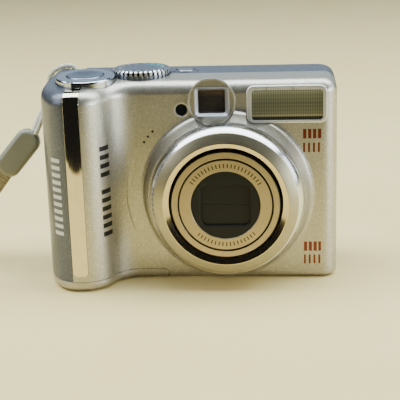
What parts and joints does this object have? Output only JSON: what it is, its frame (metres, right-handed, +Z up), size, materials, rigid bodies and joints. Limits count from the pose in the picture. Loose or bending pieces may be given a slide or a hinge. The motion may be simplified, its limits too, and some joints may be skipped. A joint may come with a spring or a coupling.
{
  "type": "compact digital camera",
  "caption": "Pocket digital camera with a grip, collapsing zoom lens, optical viewfinder, flash, top dial and a wrist strap.",
  "frame": {"origin": "underside, under the middle of the body's box, strap left out", "axes": "+Z up, -Y the way the lens looks, +X to the right of someone facing the lens"},
  "size_m": [0.1991, 0.0511, 0.0677],
  "materials": {
    "front_paint": "champagne silver paint, fine metallic, satin",
    "rear_paint": "graphite metallic paint, satin",
    "grip_grey": "dark grey metallic, satin",
    "mirror_chrome": "mirror",
    "satin_metal": "satin with bright edges",
    "dial_metal": "satin face, bright rim",
    "barrel_metal": "fine satin, warm",
    "clear_window": "clear",
    "dark_window": "dark tint, polished",
    "flash_lens": "ribbed, pale yellow",
    "lens_glass": "coated",
    "black_plastic": "matt",
    "blade_black": "matt",
    "screw_steel": "plated",
    "spring_brass": "plated",
    "cell_wrap": "printed sleeve",
    "card_blue": "matt",
    "grey_rubber": "matt",
    "board_green": "solder mask",
    "button_grey": "satin metallic",
    "gear_white": "natural acetal",
    "strap_thread": "braided cord",
    "strap_plastic": "moulded, matt",
    "strap_weave": "ribbed weave"
  },
  "bodies": {
    "camera": {"front_shell": "front_paint", "rear_shell": "rear_paint", "grip_side_panel": "grip_grey", "grip_strip": "mirror_chrome", "lens_ring": "satin_metal", "viewfinder_bezel": "front_paint", "viewfinder_windows": "clear_window", "viewfinder_body": "black_plastic", "flash_bezel": "front_paint", "flash_window": "flash_lens", "flash_unit": "mirror_chrome", "flash_capacitor": "black_plastic", "af_lamp": "dark_window", "case_screws": "screw_steel", "tripod_bush": "screw_steel", "battery_door_pin": "screw_steel", "battery_box": "black_plastic", "battery_cells": "cell_wrap", "memory_card": "card_blue", "terminal_ports": "screw_steel", "lcd_window": "dark_window", "lcd_module": "black_plastic", "chassis": "screw_steel", "main_board": "board_green", "key_board": "board_green", "speaker": "black_plastic", "lens_housing": "black_plastic", "zoom_motor": "screw_steel", "image_sensor": "black_plastic", "strap_cord": "strap_thread", "strap_connector": "strap_plastic", "strap_band": "strap_weave"},
    "cam": {"cam_ring": "black_plastic"},
    "idler": {"zoom_idler": "gear_white"},
    "pinion": {"motor_pinion": "spring_brass"},
    "barrel_one": {"barrel_1": "barrel_metal"},
    "barrel_two": {"barrel_2": "barrel_metal", "barrier_mask": "black_plastic", "front_lens": "lens_glass"},
    "upper_blade": {"blade_upper": "blade_black"},
    "lower_blade": {"blade_lower": "blade_black"},
    "second_lens": {"second_group": "black_plastic"},
    "focus_lens": {"focus_group": "black_plastic"},
    "finder_lens": {"viewfinder_mover": "clear_window"},
    "zoom_lever": {"zoom_ring": "mirror_chrome"},
    "shutter": {"shutter_button": "satin_metal"},
    "dial": {"mode_dial": "dial_metal"},
    "power": {"power_button": "satin_metal"},
    "print": {"print_button": "button_grey"},
    "erase": {"erase_button": "button_grey"},
    "display": {"display_button": "button_grey"},
    "menu": {"menu_button": "button_grey"},
    "pad_gimbal": {"rocker_gimbal": "black_plastic"},
    "pad": {"rocker_pad": "button_grey"},
    "set": {"set_button": "button_grey"},
    "switch": {"mode_switch": "button_grey"},
    "flap": {"terminal_flap": "grey_rubber"},
    "door": {"battery_door": "front_paint", "door_contacts": "spring_brass"},
    "latch": {"door_latch": "button_grey"}
  },
  "joints": [
    {"name": "zoom", "type": "hinge", "parent": "camera", "child": "cam", "pos_m": [0.0115, 0, 0.0279], "axis": [0, -1, 0], "range_deg": [0, 90]},
    {"name": "barrel_one_slide", "type": "slide", "parent": "camera", "child": "barrel_one", "axis": [0, -1, 0], "range_m": [0, 0.013]},
    {"name": "barrel_two_slide", "type": "slide", "parent": "barrel_one", "child": "barrel_two", "axis": [0, -1, 0], "range_m": [0, 0.012]},
    {"name": "upper_blade_slide", "type": "slide", "parent": "barrel_two", "child": "upper_blade", "axis": [0, 0, 1], "range_m": [0, 0.0054]},
    {"name": "lower_blade_slide", "type": "slide", "parent": "barrel_two", "child": "lower_blade", "axis": [0, 0, -1], "range_m": [0, 0.0054]},
    {"name": "second_lens_slide", "type": "slide", "parent": "camera", "child": "second_lens", "axis": [0, -1, 0], "range_m": [0, 0.014]},
    {"name": "finder_lens_slide", "type": "slide", "parent": "camera", "child": "finder_lens", "axis": [0, -1, 0], "range_m": [0, 0.006]},
    {"name": "idler_spin", "type": "hinge", "parent": "camera", "child": "idler", "pos_m": [-0.0059, 0, 0.04302], "axis": [0, -1, 0], "range_deg": [-503, 0]},
    {"name": "pinion_spin", "type": "hinge", "parent": "camera", "child": "pinion", "pos_m": [-0.00916, 0, 0.05306], "axis": [0, -1, 0], "range_deg": [0, 1256]},
    {"name": "focus_slide", "type": "slide", "parent": "camera", "child": "focus_lens", "axis": [0, -1, 0], "range_m": [-0.001, 0.001]},
    {"name": "zoom_lever_turn", "type": "hinge", "parent": "camera", "child": "zoom_lever", "pos_m": [-0.0315, -0.0056, 0.06343], "axis": [0, -0.0698, 0.9976], "range_deg": [-20, 20], "stiffness_Nm_per_rad": 0.02},
    {"name": "shutter_press", "type": "slide", "parent": "camera", "child": "shutter", "axis": [0, 0.0698, -0.9976], "range_m": [0, 0.001], "stiffness_N_per_m": 500},
    {"name": "mode_dial_turn", "type": "hinge", "parent": "camera", "child": "dial", "pos_m": [-0.0152, 0.0036, 0.063], "axis": [0, 0, 1], "continuous": true},
    {"name": "power_press", "type": "slide", "parent": "camera", "child": "power", "axis": [0, 0, -1], "range_m": [0, 0.0005], "stiffness_N_per_m": 500},
    {"name": "print_press", "type": "slide", "parent": "camera", "child": "print", "axis": [0, -1, 0], "range_m": [0, 0.0005], "stiffness_N_per_m": 500},
    {"name": "erase_press", "type": "slide", "parent": "camera", "child": "erase", "axis": [0, -1, 0], "range_m": [0, 0.0005], "stiffness_N_per_m": 500},
    {"name": "display_press", "type": "slide", "parent": "camera", "child": "display", "axis": [0, -1, 0], "range_m": [0, 0.0005], "stiffness_N_per_m": 500},
    {"name": "menu_press", "type": "slide", "parent": "camera", "child": "menu", "axis": [0, -1, 0], "range_m": [0, 0.0005], "stiffness_N_per_m": 500},
    {"name": "set_press", "type": "slide", "parent": "camera", "child": "set", "axis": [0, -1, 0], "range_m": [0, 0.0005], "stiffness_N_per_m": 500},
    {"name": "pad_tilt_up_down", "type": "hinge", "parent": "camera", "child": "pad_gimbal", "pos_m": [-0.033, 0.0172, 0.033], "axis": [1, 0, 0], "range_deg": [-2.5, 2.5], "stiffness_Nm_per_rad": 0.05},
    {"name": "pad_tilt_left_right", "type": "hinge", "parent": "pad_gimbal", "child": "pad", "pos_m": [-0.033, 0.0172, 0.033], "axis": [0, 0, 1], "range_deg": [-2.5, 2.5], "stiffness_Nm_per_rad": 0.05},
    {"name": "mode_switch_slide", "type": "slide", "parent": "camera", "child": "switch", "axis": [1, 0, 0], "range_m": [0, 0.004]},
    {"name": "terminal_flap_open", "type": "hinge", "parent": "camera", "child": "flap", "pos_m": [0.04495, 0.014, 0.0245], "axis": [0, 0, 1], "range_deg": [0, 95]},
    {"name": "battery_door_open", "type": "hinge", "parent": "camera", "child": "door", "pos_m": [-0.0092, 0, 0.0016], "axis": [0, -1, 0], "range_deg": [0, 90]},
    {"name": "door_latch_slide", "type": "slide", "parent": "door", "child": "latch", "axis": [1, 0, 0], "range_m": [0, 0.002]}
  ],
  "couplings": [
    {"joint": "barrel_one_slide", "follows": "zoom", "m_per_rad": 0.0082752},
    {"joint": "barrel_two_slide", "follows": "zoom", "m_per_rad": 0.0076387},
    {"joint": "upper_blade_slide", "follows": "zoom", "m_per_rad": 0.0034374},
    {"joint": "lower_blade_slide", "follows": "zoom", "m_per_rad": 0.0034374},
    {"joint": "second_lens_slide", "follows": "zoom", "m_per_rad": 0.0089118},
    {"joint": "finder_lens_slide", "follows": "zoom", "m_per_rad": 0.0038193},
    {"joint": "idler_spin", "follows": "zoom", "ratio": -5.5714},
    {"joint": "pinion_spin", "follows": "zoom", "ratio": 13.929}
  ]
}
